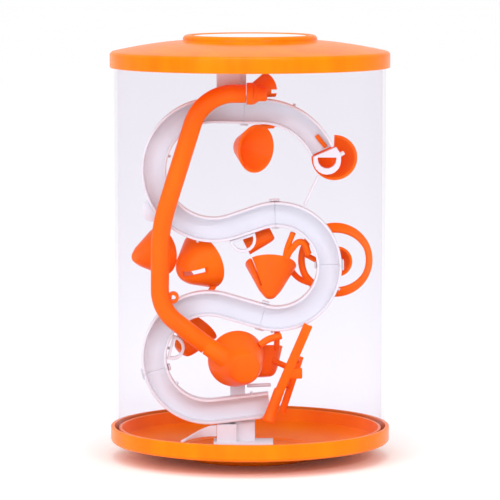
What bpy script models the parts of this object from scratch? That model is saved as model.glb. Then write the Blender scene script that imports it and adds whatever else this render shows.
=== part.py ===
"""A ball maze inside a clear cylinder: two turned end caps, a snaking white channel between two posts,
cone cups, a curved pipe, a loop rail, a chute and one loose steel ball.

Sizes are in millimetres here and become metres in mm(). +Z is up, +X is to the right, and the
viewer looks along +Y. The origin is the centre of the foot ring's face.
"""

from math import acos, atan2, cos, degrees, hypot, pi, radians, sin, tan

import bmesh
import bpy
from mathutils import Matrix, Vector

# ---- Driving dimensions, in millimetres -------------------------------------------------------
HEIGHT = 255.0
GAP = 0.3  # clearance between pieces that touch

CAP_RADIUS = 84.0
CAP_HEIGHT = 19.5
CAP_WALL = 2.3
RIM_HEIGHT = 8.3
SHOULDER = 1.3
DOME_RISE = 6.2
BEAD_MEAN_RADIUS = 37.6
BEAD_RADIUS = 2.7
BEAD_FLAT = 0.8
RECESS_DEPTH = 3.9
INNER_FLOOR = 13.6
INNER_LIP_DROP = 2.3
GROOVE_DEPTH = 7.6

TUBE_OUTER_RADIUS = 81.4
TUBE_WALL = 2.0

CHANNEL_HALF_WIDTH = 7.5
CHANNEL_WALL = 1.5
CHANNEL_FLOOR = 1.6
CHANNEL_BACK = 3.6  # Y of the channel's back face
CHANNEL_FRONT = -6.0  # Y of the channel's two rims
PATH_STEP = 5.0

PIPE_RADIUS = 5.5
PIPE_WALL = 1.1
PIPE_Y = -14.0

CUP_WALL = 1.5
CUP_STEPS = 20

BALL_RADIUS = 3.97

ORANGE = (0.95, 0.19, 0.01)
WHITE = (0.86, 0.86, 0.88)
CLEAR = (0.93, 0.94, 0.98)
STEEL = (0.62, 0.62, 0.64)


def mm(value):
    """Millimetres, or a tuple of them, as metres."""
    if isinstance(value, (int, float)):
        return value / 1000.0
    return Vector([part / 1000.0 for part in value])


# ---- Scene, collections and materials ---------------------------------------------------------
def clear_scene():
    for obj in list(bpy.data.objects):
        bpy.data.objects.remove(obj)
    for name in ("ball_maze", "cutters"):
        collection = bpy.data.collections.new(name)
        bpy.context.scene.collection.children.link(collection)


def finish(name, color, roughness, metallic=0.0, alpha=1.0):
    material = bpy.data.materials.new(name)
    material.use_nodes = True
    shader = material.node_tree.nodes["Principled BSDF"]
    shader.inputs["Base Color"].default_value = (*color, 1.0)
    shader.inputs["Roughness"].default_value = roughness
    shader.inputs["Metallic"].default_value = metallic
    shader.inputs["Alpha"].default_value = alpha
    return material


def place(obj, material=None, helper=False):
    """Links obj to the model's collection, or hides it as a helper in the cutters' one."""
    home = bpy.data.collections["cutters" if helper else "ball_maze"]
    for collection in list(obj.users_collection):
        collection.objects.unlink(obj)
    home.objects.link(obj)
    if helper:
        obj.hide_render = True
        obj.display_type = "WIRE"
    if material:
        obj.data.materials.append(material)
    return obj


# ---- Shape helpers ----------------------------------------------------------------------------
def arc(centre, radius, start, end, step=PATH_STEP):
    """Points on an arc in a plane, start and end in degrees, about a step apart."""
    sweep = radians(end - start)
    count = max(2, round(abs(sweep) * radius / step))
    angles = [radians(start) + sweep * i / count for i in range(count + 1)]
    return [(centre[0] + radius * cos(a), centre[1] + radius * sin(a)) for a in angles]


def band(path, width):
    """The outline of a flat strip of one width along a path."""
    left, right = [], []
    for i, point in enumerate(path):
        before, after = Vector(path[max(0, i - 1)]), Vector(path[min(len(path) - 1, i + 1)])
        along = (after - before).normalized()
        side = Vector((-along.y, along.x)) * width / 2
        left.append(tuple(Vector(point) + side))
        right.append(tuple(Vector(point) - side))
    return left + right[::-1]


def turned(name, profile, material, steps=48, closed=True, helper=False):
    """A profile of (radius, height) points, run down its outer side, turned about Z."""
    mesh = bpy.data.meshes.new(name)
    count = len(profile)
    edges = [(i, i + 1) for i in range(count - 1)]
    if closed:
        edges.append((count - 1, 0))
    mesh.from_pydata([mm((r, 0, z)) for r, z in profile], edges, [])
    obj = place(bpy.data.objects.new(name, mesh), material, helper)
    screw = obj.modifiers.new("turn", "SCREW")
    screw.axis = "Z"
    screw.steps = screw.render_steps = steps
    screw.use_merge_vertices = True
    screw.merge_threshold = 0.00001
    screw.use_smooth_shade = True
    return obj


def box(name, low, high, material=None, helper=False):
    """A box between two corners."""
    bpy.ops.mesh.primitive_cube_add(size=1.0)
    obj = bpy.context.object
    obj.name = name
    low, high = mm(low), mm(high)
    size = high - low
    obj.data.transform(Matrix.Diagonal((*size, 1.0)))
    obj.location = (low + high) / 2
    return place(obj, material, helper)


def rod(name, start, end, radius, material=None, helper=True, sides=10):
    """A straight round rod between two points."""
    start, end = mm(start), mm(end)
    bpy.ops.mesh.primitive_cylinder_add(
        vertices=sides, radius=mm(radius), depth=(end - start).length, location=(start + end) / 2
    )
    obj = bpy.context.object
    obj.name = name
    obj.rotation_mode = "QUATERNION"
    obj.rotation_quaternion = (end - start).to_track_quat("Z", "Y")
    return place(obj, material, helper)


def outline(name, points, depth, y, material=None, helper=False, bevel=0.0):
    """A flat closed outline in the XZ plane, extruded along Y to a depth centred on y."""
    curve = bpy.data.curves.new(name, "CURVE")
    curve.dimensions = "2D"
    curve.fill_mode = "BOTH"
    curve.extrude = mm(depth) / 2 - mm(bevel)
    curve.bevel_depth = mm(bevel)
    spline = curve.splines.new("POLY")
    spline.points.add(len(points) - 1)
    for point, (x, z) in zip(spline.points, points):
        point.co = (*mm((x, z, 0)), 1.0)
    spline.use_cyclic_u = True
    obj = place(bpy.data.objects.new(name, curve), material, helper)
    obj.rotation_euler = (pi / 2, 0, 0)
    obj.location = mm((0, y, 0))
    return as_mesh(obj)


def prism(name, points, low, high, material=None, helper=False):
    """A flat closed outline in the XY plane, standing from one height to another."""
    curve = bpy.data.curves.new(name, "CURVE")
    curve.dimensions = "2D"
    curve.fill_mode = "BOTH"
    curve.extrude = mm(high - low) / 2
    spline = curve.splines.new("POLY")
    spline.points.add(len(points) - 1)
    for point, (x, y) in zip(spline.points, points):
        point.co = (*mm((x, y, 0)), 1.0)
    spline.use_cyclic_u = True
    obj = place(bpy.data.objects.new(name, curve), material, helper)
    obj.location = mm((0, 0, (low + high) / 2))
    return as_mesh(obj)


def wire(name, points, radius, material, cyclic=False, resolution=2, helper=False):
    """A round bar along 3-D points."""
    curve = bpy.data.curves.new(name, "CURVE")
    curve.dimensions = "3D"
    curve.bevel_depth = mm(radius)
    curve.bevel_resolution = resolution
    curve.use_fill_caps = not cyclic
    spline = curve.splines.new("POLY")
    spline.points.add(len(points) - 1)
    for point, position in zip(spline.points, points):
        point.co = (*mm(position), 1.0)
    spline.use_cyclic_u = cyclic
    return as_mesh(place(bpy.data.objects.new(name, curve), material, helper))


def swept(name, path, section, material, y=CHANNEL_BACK):
    """A closed section, as (across, towards the viewer) points, swept along a path in the XZ plane."""
    rim = bpy.data.curves.new(name + "_section", "CURVE")
    rim.dimensions = "2D"
    spline = rim.splines.new("POLY")
    spline.points.add(len(section) - 1)
    for point, (across, forward) in zip(spline.points, section):
        point.co = (*mm((across, forward, 0)), 1.0)
    spline.use_cyclic_u = True
    section_object = place(bpy.data.objects.new(name + "_section", rim), helper=True)
    curve = bpy.data.curves.new(name, "CURVE")
    curve.dimensions = "2D"
    curve.fill_mode = "NONE"
    curve.bevel_mode = "OBJECT"
    curve.bevel_object = section_object
    curve.use_fill_caps = True
    spline = curve.splines.new("POLY")
    spline.points.add(len(path) - 1)
    for point, (x, z) in zip(spline.points, path):
        point.co = (*mm((x, z, 0)), 1.0)
    obj = place(bpy.data.objects.new(name, curve), material)
    obj.rotation_euler = (pi / 2, 0, 0)
    obj.location = mm((0, y, 0))
    return as_mesh(obj)


def as_mesh(obj):
    """The curve obj replaced by a closed mesh object of the same name, material and place."""
    bpy.context.view_layer.update()
    evaluated = obj.evaluated_get(bpy.context.evaluated_depsgraph_get())
    mesh = bpy.data.meshes.new_from_object(evaluated)
    shape = bmesh.new()
    shape.from_mesh(mesh)
    bmesh.ops.remove_doubles(shape, verts=shape.verts, dist=0.000005)
    bmesh.ops.recalc_face_normals(shape, faces=shape.faces)
    if shape.calc_volume(signed=True) < 0:
        bmesh.ops.reverse_faces(shape, faces=shape.faces)
    shape.to_mesh(mesh)
    shape.free()
    name, world, helper = obj.name, obj.matrix_world.copy(), obj.hide_render
    bpy.data.objects.remove(obj)
    made = place(bpy.data.objects.new(name, mesh), helper=helper)
    made.matrix_world = world
    return made


def cut(obj, cutter, operation="DIFFERENCE"):
    """Adds a Boolean with another mesh object, which stays as a hidden helper."""
    boolean = obj.modifiers.new(cutter.name, "BOOLEAN")
    boolean.operation = operation
    boolean.object = cutter
    boolean.solver = "EXACT"
    return obj


def join(obj, helper):
    return cut(obj, helper, "UNION")


# ---- The caps and the clear cylinder ----------------------------------------------------------
def dome_height(radius, top):
    """The dome's height over the rim's edge at a radius; top is its height beside the bead."""
    start = BEAD_MEAN_RADIUS + BEAD_RADIUS
    share = (radius - start) / (CAP_RADIUS - SHOULDER - start)
    return top - DOME_RISE * max(0.0, share) ** 1.5


def cap_profile():
    """One cap's section, with its open edge at height 0 and its crest at CAP_HEIGHT."""
    crest = CAP_HEIGHT
    bead_in, bead_out = BEAD_MEAN_RADIUS - BEAD_RADIUS, BEAD_MEAN_RADIUS + BEAD_RADIUS
    dome_top = crest - BEAD_RADIUS - 1.0
    recess = crest - RECESS_DEPTH
    outside = [(0, recess), (bead_in, recess), (bead_in, crest - BEAD_RADIUS)]
    outside += [(BEAD_MEAN_RADIUS - 2.0, crest - 0.8), (BEAD_MEAN_RADIUS - BEAD_FLAT, crest)]
    outside += [(BEAD_MEAN_RADIUS + BEAD_FLAT, crest), (BEAD_MEAN_RADIUS + 2.0, crest - 0.8)]
    outside += [(bead_out, crest - BEAD_RADIUS)]
    outside += [(r, dome_height(r, dome_top)) for r in (bead_out, 50, 60, 70, 77, CAP_RADIUS - SHOULDER)]
    outside += [(CAP_RADIUS, RIM_HEIGHT), (CAP_RADIUS, 0)]
    groove_out, groove_in = TUBE_OUTER_RADIUS + GAP, TUBE_OUTER_RADIUS - TUBE_WALL - GAP
    groove = [(groove_out, 0), (groove_out, GROOVE_DEPTH), (groove_in, GROOVE_DEPTH)]
    lip_in = groove_in - 1.8
    groove += [(groove_in, INNER_LIP_DROP), (lip_in, INNER_LIP_DROP)]
    inside = [(r, dome_height(r, dome_top) - CAP_WALL) for r in (lip_in, 70, 60, 50, bead_out + 0.7)]
    race = [(BEAD_MEAN_RADIUS + 2.0, 14.6), (BEAD_MEAN_RADIUS, 15.2), (BEAD_MEAN_RADIUS - 2.0, 14.6)]
    return outside + groove + inside + race + [(bead_in - 0.7, INNER_FLOOR), (0, INNER_FLOOR)]


def make_caps(orange, white):
    screw_head, shank = 2.7, 1.45
    base = HEIGHT - CAP_HEIGHT
    top = turned("top_cap", cap_profile(), orange, closed=False)
    top.location = mm((0, 0, base))
    for i, x in enumerate(SCREW_X):
        cut(top, rod(f"cap_hole_{i}", (x, SCREW_Y, base), (x, SCREW_Y, base + 30), shank + GAP, sides=12))
    # The lower cap is the finished upper one, mirrored.
    bpy.context.view_layer.update()
    shape = bmesh.new()
    shape.from_object(top, bpy.context.evaluated_depsgraph_get())
    bmesh.ops.triangulate(shape, faces=shape.faces[:])
    bmesh.ops.scale(shape, vec=(1, 1, -1), verts=shape.verts[:])
    bmesh.ops.translate(shape, vec=mm((0, 0, CAP_HEIGHT)), verts=shape.verts[:])
    bmesh.ops.reverse_faces(shape, faces=shape.faces[:])
    mesh = bpy.data.meshes.new("bottom_cap")
    shape.to_mesh(mesh)
    shape.free()
    place(bpy.data.objects.new("bottom_cap", mesh), orange)
    badge = [(0, 3.0), (33.6, 3.0), (34.5, 2.3), (34.5, 0), (32.6, 0), (32.6, 1.6), (0, 1.6)]
    for name, z, turn in (
        ("top_disc", HEIGHT - RECESS_DEPTH + GAP, 0),
        ("bottom_disc", RECESS_DEPTH - GAP, pi),
    ):
        disc = turned(name, badge, white, closed=False)
        disc.location = mm((0, 0, z))
        disc.rotation_euler = (turn, 0, 0)
    screw_profile = [(0, 1.25), (2.0, 1.25), (screw_head, 0.5), (screw_head, 0), (shank, 0)]
    screw_profile += [(shank, -7.6), (0, -8.8)]
    for end, z, turn in (("top", HEIGHT - RECESS_DEPTH + GAP, 0), ("bottom", RECESS_DEPTH - GAP, pi)):
        for i, x in enumerate(SCREW_X):
            screw = turned(f"{end}_post_screw_{i + 1}", screw_profile, STEEL_FINISH, 16, closed=False)
            screw.location = mm((x, SCREW_Y, z))
            screw.rotation_euler = (turn, 0, 0)


def make_tube(clear):
    inner = TUBE_OUTER_RADIUS - TUBE_WALL
    low = CAP_HEIGHT - GROOVE_DEPTH + GAP
    high = HEIGHT - low
    section = [(TUBE_OUTER_RADIUS, high), (TUBE_OUTER_RADIUS, low), (inner, low), (inner, high)]
    turned("clear_cylinder", section, clear)


# ---- The posts --------------------------------------------------------------------------------
SCREW_X = (-13.0, -2.0)
SCREW_Y = 2.0
POST_LEFT, POST_MIDDLE, POST_RIGHT = -20.0, -8.0, 3.0


def make_posts(white):
    floor_low, floor_high = CAP_HEIGHT - INNER_FLOOR + GAP, HEIGHT - CAP_HEIGHT + INNER_FLOOR - GAP
    front, back, behind = CHANNEL_FRONT + 1, 8.5, CHANNEL_BACK + GAP
    bottom = box("bottom_post", (-22, -12, floor_low), (14, 11, floor_low + 3.4), white)
    join(bottom, box("bottom_column", (POST_LEFT, front, 7), (POST_MIDDLE, back, 20.2), helper=True))
    join(bottom, box("bottom_step", (-9, front + 4, 7), (POST_RIGHT, back, 21.6), helper=True))
    join(bottom, box("bottom_tongue", (-12, behind, 15), (-3, 7.6, 43), helper=True))
    top = box("top_post", (-22, -12, floor_high - 3.0), (14, 11, floor_high), white)
    join(top, box("top_neck", (POST_LEFT, -4.6, 221.5), (-6, 8.5, floor_high - 1), helper=True))
    join(top, box("top_step", (-7, 0, 221.5), (-2.3, 8.5, floor_high - 1), helper=True))
    join(top, box("top_tongue", (-17, behind, 206), (-8, 7.6, 230), helper=True))
    for i, x in enumerate(SCREW_X):
        cut(bottom, rod(f"bottom_bore_{i}", (x, SCREW_Y, 0), (x, SCREW_Y, 13.5), 1.45 + GAP))
        cut(top, rod(f"top_bore_{i}", (x, SCREW_Y, 241.5), (x, SCREW_Y, 260), 1.45 + GAP))


def make_base_fin(white):
    """The curved wall that sweeps forward and left from the bottom post, clear of the ball's race."""
    plan = [(POST_LEFT - GAP, -3.6), (-25, -4.5), (-30, -7.5), (-34.5, -13), (-38, -20), (-40.5, -29)]
    fin = prism("base_fin", band(plan, 2.2), 12.9, 22.0, white)
    slope = [(-46, 30), (-46, 13.6), (-38, 14.2), (-30, 17.4), (-24, 19.4), (-18, 19.9), (-18, 30)]
    cut(fin, outline("base_fin_top", slope, 60, -15, helper=True))


# ---- The snaking channel ----------------------------------------------------------------------
# Each bend: centre X, centre Z, radius of the channel's middle line, +1 for a left turn or -1 for right.
BENDS = (
    (6.3, 168.8, 40.4, 1),
    (-22.0, 173.9, 35.8, 1),
    (16.2, 115.8, 31.5, -1),
    (-25.0, 60.7, 32.9, 1),
)
CHANNEL_START = 24.0  # degrees round the first bend
CHANNEL_END_SLOPE = 6.9
CHANNEL_END_X = 11.8
JOINTS_AT = ((-3.4, 209.0), (15.0, 147.0), (47.7, 116.2), (8.0, 87.0), (-57.0, 52.0))


def tangent_angle(first, second):
    """The angle, on the first bend, where the line to the second bend leaves it."""
    (x1, z1, r1, turn1), (x2, z2, r2, turn2) = first, second
    distance, bearing = hypot(x2 - x1, z2 - z1), atan2(z2 - z1, x2 - x1)
    reach = r1 - r2 if turn1 == turn2 else r1 + r2
    return degrees(bearing - turn1 * acos(reach / distance))


def channel_path():
    """The channel's middle line from its upper right end to its lower right end."""
    points, enter = [], CHANNEL_START
    for i, bend in enumerate(BENDS):
        x, z, radius, turn = bend
        last = i == len(BENDS) - 1
        leave = 270 + CHANNEL_END_SLOPE if last else tangent_angle(bend, BENDS[i + 1])
        leave = enter + turn * ((turn * (leave - enter)) % 360)
        points += arc((x, z), radius, enter, leave)
        if not last:
            enter = leave if BENDS[i + 1][3] == turn else leave + 180
    x, z = points[-1]
    points.append((CHANNEL_END_X, z + (CHANNEL_END_X - x) * tan(radians(CHANNEL_END_SLOPE))))
    return points


def stations(path):
    """The length along the path at each of its points."""
    lengths = [0.0]
    for (x1, z1), (x2, z2) in zip(path, path[1:]):
        lengths.append(lengths[-1] + hypot(x2 - x1, z2 - z1))
    return lengths


def point_at(path, lengths, target):
    for (x1, z1), (x2, z2), near, far in zip(path, path[1:], lengths, lengths[1:]):
        if near <= target <= far:
            share = (target - near) / (far - near)
            return (x1 + share * (x2 - x1), z1 + share * (z2 - z1))
    return path[-1]


def stretch(path, start, end):
    """The piece of a path between two lengths along it."""
    lengths = stations(path)
    between = [p for p, at in zip(path, lengths) if start + 0.5 < at < end - 0.5]
    return [point_at(path, lengths, start), *between, point_at(path, lengths, end)]


def nearest_length(path, target):
    lengths = stations(path)
    fine = [lengths[-1] * i / 2000 for i in range(2001)]
    return min(fine, key=lambda at: (Vector(point_at(path, lengths, at)) - Vector(target)).length)


def joint_length(path, target):
    """The length along the path nearest to a point, kept off the ends of its straight steps."""
    lengths = stations(path)
    at = nearest_length(path, target)
    near, far = next((a, b) for a, b in zip(lengths, lengths[1:]) if a <= at <= b)
    margin = min(2.4, (far - near) / 2)
    return min(max(at, near + margin), far - margin)


def channel_section():
    half, wall, floor = CHANNEL_HALF_WIDTH, CHANNEL_WALL, CHANNEL_FLOOR
    height = CHANNEL_BACK - CHANNEL_FRONT
    right = [(half, 0), (half, height), (half - wall, height), (half - wall, floor)]
    return right + [(-x, z) for x, z in reversed(right)]


def clip_section():
    """A strap round the channel's back and sides, clear of it by GAP."""
    inner, outer = CHANNEL_HALF_WIDTH + GAP, CHANNEL_HALF_WIDTH + GAP + 1.1
    right = [(outer, -1.7), (outer, 4.4), (inner, 4.4), (inner, -GAP)]
    return right + [(-x, z) for x, z in reversed(right)]


def make_channel(white):
    path = channel_path()
    whole = stations(path)[-1]
    joints = [joint_length(path, joint) for joint in JOINTS_AT]
    names = ("upper_right", "upper_left", "middle", "right", "lower_left", "bottom")
    ends = [0.0, *joints, whole]
    for name, start, end in zip(names, ends, ends[1:]):
        piece = stretch(path, start + GAP / 2, end - GAP / 2)
        swept(f"channel_{name}", piece, channel_section(), white)
    for i, at in enumerate(joints):
        swept(f"channel_clip_{i + 1}", stretch(path, at - 2.5, at + 2.5), clip_section(), white)
    # The leaf-shaped flap outside the upper left bend and the rib behind the bottom run.
    x, z, radius, _ = BENDS[1]
    inner = arc((x, z), radius + CHANNEL_HALF_WIDTH + 0.4, 205, 221)
    outline("side_flap", inner + [(-58.6, 142.6), (-62.4, 143.6), (-65.0, 147.4), (-64.6, 152.4)], 2.0, 0, white)
    rod("bottom_rib", (-1.8, CHANNEL_BACK + 1.6, 42.4), (12.6, CHANNEL_BACK + 1.6, 43.0), 1.1, white, False)
    return path


# ---- The gates at the channel's ends and side -------------------------------------------------
def half_round(centre, radius, lean, flat=0.0):
    """A half-disc outline, flat side up when lean is 0, turned by lean degrees."""
    x, z = centre
    points = arc((0, 0), radius, 180, 360, 2.5)
    if flat:
        points = [(radius, flat), (-radius, flat)] + points
    a = radians(lean)
    return [(x + p * cos(a) - q * sin(a), z + p * sin(a) + q * cos(a)) for p, q in points]


def gate(name, centre, radius, lean, y, material, depth=5.0):
    """A half-round frame with a half-round window, flat edge towards the channel."""
    frame = outline(name, half_round(centre, radius, lean, 1.6), depth, y, material)
    window = outline(name + "_window", half_round(centre, radius - 1.7, lean), depth + 4, y, helper=True)
    return cut(frame, window)


def make_gates(white, orange, path):
    # The frame under the channel's upper right end, its small stop and its orange release tab.
    frame = [(37.9, 182.0)] + arc((46.2, 179.6), 8.3, 180, 360, 2.5) + [(54.5, 183.6), (51.6, 187.9)]
    gate_top = outline("gate_upper", frame, 5.0, -2.5, white)
    window = half_round((46.2, 180.6), 5.6, 0, 1.0)
    cut(gate_top, outline("gate_upper_window", window, 9.0, -2.5, helper=True))
    join(gate_top, rod("gate_upper_stop", (53.2, -2.5, 182.6), (56.4, -2.5, 184.6), 1.3))
    across, along = Vector((0.78, 0.62)) * 1.3, Vector((-0.62, 0.78)) * 4.6
    centre = Vector((42.7, 191.0))
    corners = (across + along, along - across, -across - along, across - along)
    tab = [tuple(centre + corner) for corner in corners]
    outline("release_tab", tab, 1.2, CHANNEL_BACK - CHANNEL_FLOOR - GAP - 0.6, orange)
    rod("strut", (41.0, -2.5, 170.4), (32.6, -2.5, 152.4), 0.9, white, False, 8)
    # The two half-round pockets under the middle run and inside the lower bend.
    at = nearest_length(path, (-7.0, 140.5))
    before, after = Vector(point_at(path, stations(path), at - 3)), Vector(point_at(path, stations(path), at + 3))
    run = (after - before).normalized()
    centre = (before + after) / 2 - Vector((-run.y, run.x)) * (CHANNEL_HALF_WIDTH + GAP + 1.6)
    gate("gate_middle", tuple(centre), 8.0, degrees(atan2(run.y, run.x)), -1.5, white)
    x, z, radius, _ = BENDS[3]
    inner = radius - CHANNEL_HALF_WIDTH - GAP - 2.6
    a = radians(165)
    gate("gate_lower", (x + inner * cos(a), z + inner * sin(a)), 7.4, 75, -1.5, white)


# ---- Cups -------------------------------------------------------------------------------------
def aim(obj, start, end):
    """Turns obj's +Z from start towards end and puts its origin on start."""
    start, end = mm(start), mm(end)
    turn = (end - start).to_track_quat("Z", "Y").to_matrix().to_4x4()
    obj.matrix_world = Matrix.Translation(start) @ turn
    return obj


def cup(name, tip, mouth, tip_radius, mouth_radius, material, steps=CUP_STEPS):
    """A thin-walled cone from a closed, blunt tip to an open mouth."""
    length = (mm(mouth) - mm(tip)).length * 1000
    lean = hypot(mouth_radius - tip_radius, length) / length
    inner_mouth, inner_tip = mouth_radius - CUP_WALL * lean, tip_radius - CUP_WALL * 0.7
    knee = (tip_radius + (mouth_radius - tip_radius) * 0.06, 1.0)
    profile = [(0, CUP_WALL), (inner_tip, CUP_WALL + 0.3), (inner_mouth, length)]
    profile += [(mouth_radius, length), knee, (tip_radius * 0.7, 0), (0, 0)]
    return aim(turned(name, profile, material, steps, closed=False), tip, mouth)


def slot(obj, tip, mouth, toward, start, end, width=2.2, reach=24.0):
    """Cuts a slot along the side of a cup that faces a direction, between two lengths from its tip."""
    cutter = box(obj.name + "_slot", (0.5, -width / 2, start), (reach, width / 2, end), helper=True)
    bpy.context.view_layer.update()
    cutter.data.transform(cutter.matrix_world)
    axis = (Vector(mouth) - Vector(tip)).normalized()
    side = (Vector(toward) - axis * axis.dot(Vector(toward))).normalized()
    turn = Matrix((side, axis.cross(side), axis)).transposed().to_4x4()
    cutter.matrix_world = Matrix.Translation(mm(tip)) @ turn
    return cut(obj, cutter)


def arm(obj, foot, elbow, end, radius=2.0):
    """Joins a bent arm to a cup: from a foot behind the channel, by an elbow, to the cup's wall."""
    x, z = foot
    base = (x, CHANNEL_BACK + GAP, z)
    join(obj, rod(obj.name + "_foot", base, (x, elbow[1] + 1.0, z), radius + 0.6))
    join(obj, rod(obj.name + "_arm", elbow, end, radius))
    return obj


def make_cups(orange):
    # The round cup behind the channel's upper right end.
    tip, mouth = (51.8, 21, 177.4), (50.8, 6, 180.9)
    catch = cup("cup_upper_right", tip, mouth, 4.0, 14.0, orange, 24)
    cut(catch, box("upper_right_notch", (30, 2, 187.0), (50.8, 20, 200), helper=True))
    arm(catch, (39.5, 193), (39.5, 9.5, 193), (40.6, 9.5, 184.2))
    # The slotted cup under the flat top run, open to the right and the front.
    tip, mouth = (-8.0, 14, 187.5), (3.8, 1.5, 186.5)
    upper = cup("cup_upper_centre", tip, mouth, 3.2, 14.8, orange)
    slot(upper, tip, mouth, (-0.15, -0.15, -0.98), 2.5, 30)
    join(upper, rod("upper_centre_bar", (6.6, 5.5, 199.5), (14.4, 7.6, 199.8), 1.5))
    arm(upper, (14, 206), (14, 7.6, 206.5), (14, 7.6, 199.4), 1.5)
    # The cup behind the pipe's left side.
    tip, mouth = (-70.3, 8, 120.0), (-54.2, 23, 122.4)
    left = cup("cup_left", tip, mouth, 2.6, 14.8, orange)
    arm(left, (-45.5, 149), (-45.5, 12, 149), (-54.8, 22.4, 135.8), 1.8)
    # The cup to the right of the pipe, on the lower bend's shoulder.
    tip, mouth = (-41.3, 3.2, 111.0), (-28.2, 15.4, 117.4)
    shoulder = cup("cup_centre_left", tip, mouth, 5.4, 17.8, orange)
    slot(shoulder, tip, mouth, (0.3, -0.95, -0.25), -2, 10.5, 3.6)
    arm(shoulder, (-27, 94), (-27, 12, 94), (-21.6, 14.7, 102.8), 1.8)
    # The slotted cup inside the right bend, open upwards, with its forked bracket.
    tip, mouth = (12.0, 1, 96.3), (12.6, 12.0, 115.4)
    right = cup("cup_centre_right", tip, mouth, 2.8, 15.6, orange)
    slot(right, tip, mouth, (-0.74, -0.67, 0), 6, 30, 2.2)
    fork = [(21.0, 1.8, 119.8), (22.2, 0.4, 126.0), (26.0, -1.0, 136.2)]
    join(right, wire("fork_straight", fork, 1.7, None, helper=True))
    hook = [(21.6, 1.8, 119.8), (25.0, -0.5, 126.0), (31.0, -1.0, 130.4), (35.4, 0, 122.8)]
    join(right, wire("fork_hook", hook, 2.0, None, helper=True))
    # The two cups at the back of the lower bend.
    tip, mouth = (-42.0, 14, 62.0), (-29.8, 22, 77.0)
    rear_left = cup("cup_rear_left", tip, mouth, 5.5, 12.0, orange)
    arm(rear_left, (-33.5, 92.3), (-33.5, 12, 92.3), (-36.6, 17.0, 84.2), 1.8)
    tip, mouth = (8.0, 16, 46.5), (7.0, 20, 64.0)
    rear_right = cup("cup_rear_right", tip, mouth, 7.0, 13.0, orange)
    arm(rear_right, (16.5, 84.2), (16.5, 12, 84.2), (16.2, 11, 63.4), 1.8)
    join(rear_right, rod("rear_right_bracket", (14.0, 11.0, 57.0), (22.5, 8.0, 53.6), 1.8))
    # The short scoop under the middle run.
    scoop = cup("scoop_middle", (13.5, 10, 134.8), (-2.5, 9.5, 127.0), 4.2, 5.8, orange, 16)
    arm(scoop, (7, 143.5), (7, 10, 143.5), (7, 10, 135.6), 1.6)


def make_loop(orange):
    """The ring rail on its small cup, behind the right bend."""
    x, y, z, radius = 51.7, 14.0, 118.2, 20.5
    tip, mouth = (52.7, 24, 117.3), (52.7, 12, 117.3)
    hub = cup("loop_rail", tip, mouth, 3.0, 9.4, orange, 20)
    ring = [(px, y, pz) for px, pz in arc((x, z), radius, 0, 360, 4.6)[:-1]]
    join(hub, wire("loop_ring", ring, 2.1, None, cyclic=True, helper=True))
    join(hub, rod("loop_spoke", (31.8, y, 122.4), (44.6, y, 115.4), 1.6))
    tail = [(25.0, 22.5, 111.0), (28.8, 19.5, 107.0), (33.4, 16.0, 104.8), (38.4, y, 103.6)]
    join(hub, wire("loop_tail", tail, 1.8, None, helper=True))
    return arm(hub, (44.7, 129.1), (44.7, y, 129.1), (48.8, y, 125.0), 1.8)


# ---- The pipe, its intake and the funnel ------------------------------------------------------
def rounded(corners, radii, step=PATH_STEP):
    """A path through corners in a plane, each inner one rounded by its radius."""
    path = [corners[0]]
    for before, corner, after, radius in zip(corners, corners[1:], corners[2:], radii):
        into = (Vector(corner) - Vector(before)).normalized()
        away = (Vector(after) - Vector(corner)).normalized()
        turn = atan2(into.x * away.y - into.y * away.x, into.dot(away))
        side = Vector((-into.y, into.x)) * (1 if turn > 0 else -1)
        start = Vector(corner) - into * radius * tan(abs(turn) / 2)
        centre = start + side * radius
        count = max(2, round(abs(turn) * radius / step))
        first = atan2(-side.y, -side.x)
        angles = [first + turn * i / count for i in range(count + 1)]
        path += [(centre.x + radius * cos(a), centre.y + radius * sin(a)) for a in angles]
    return path + [corners[-1]]


PIPE_CORNERS = ((-2.4, 220.4), (-28.5, 220.4), (-53.7, 140.0), (-54.0, 91.2), (-25.8, 69.2))
PIPE_ROUNDING = (26.0, 90.0, 24.0)


def extend(path, amount):
    """The path with both ends moved outwards by an amount."""
    first, last = Vector(path[0]), Vector(path[-1])
    start = first + (first - Vector(path[1])).normalized() * amount
    end = last + (last - Vector(path[-2])).normalized() * amount
    return [tuple(start), *path[1:-1], tuple(end)]


def make_pipe(orange):
    path = rounded(PIPE_CORNERS, PIPE_ROUNDING, 6.0)
    pipe = wire("pipe", [(x, PIPE_Y, z) for x, z in path], PIPE_RADIUS, orange)
    eye_front, eye_back = (-46.1, -13.5, 98.0), (-46.1, CHANNEL_FRONT - GAP, 98.0)
    join(pipe, rod("pipe_eye", eye_front, eye_back, 3.4, sides=16))
    bore = [(x, PIPE_Y, z) for x, z in extend(path, 3)]
    cut(pipe, wire("pipe_bore", bore, PIPE_RADIUS - PIPE_WALL, None, helper=True))
    cut(pipe, rod("pipe_eye_hole", (-46.1, -16, 98.0), (-46.1, -4, 98.0), 1.6, sides=12))
    collar = rod("pipe_collar", (-2.1, PIPE_Y, 220.4), (2.9, PIPE_Y, 220.4), 6.6, orange, False, 20)
    join(collar, rod("collar_spout", (2.0, PIPE_Y, 220.2), (10.2, PIPE_Y, 220.2), 4.6, sides=14))
    cut(collar, rod("collar_bore", (-6, PIPE_Y, 220.4), (2.0, PIPE_Y, 220.4), PIPE_RADIUS - PIPE_WALL))


def make_intake(orange):
    """The wide scoop above the channel that feeds the pipe's collar."""
    tip, mouth = (1.2, -2.3, 220.6), (11.2, 5.2, 224.0)
    scoop = cup("intake_scoop", tip, mouth, 4.0, 8.2, orange)
    cut(scoop, box("intake_seat", (-12, -20, 200), (30, 20, 217.6), helper=True))
    cut(scoop, box("intake_slot", (12.8, -20, 219.8), (30, 20, 222.2), helper=True))


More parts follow.
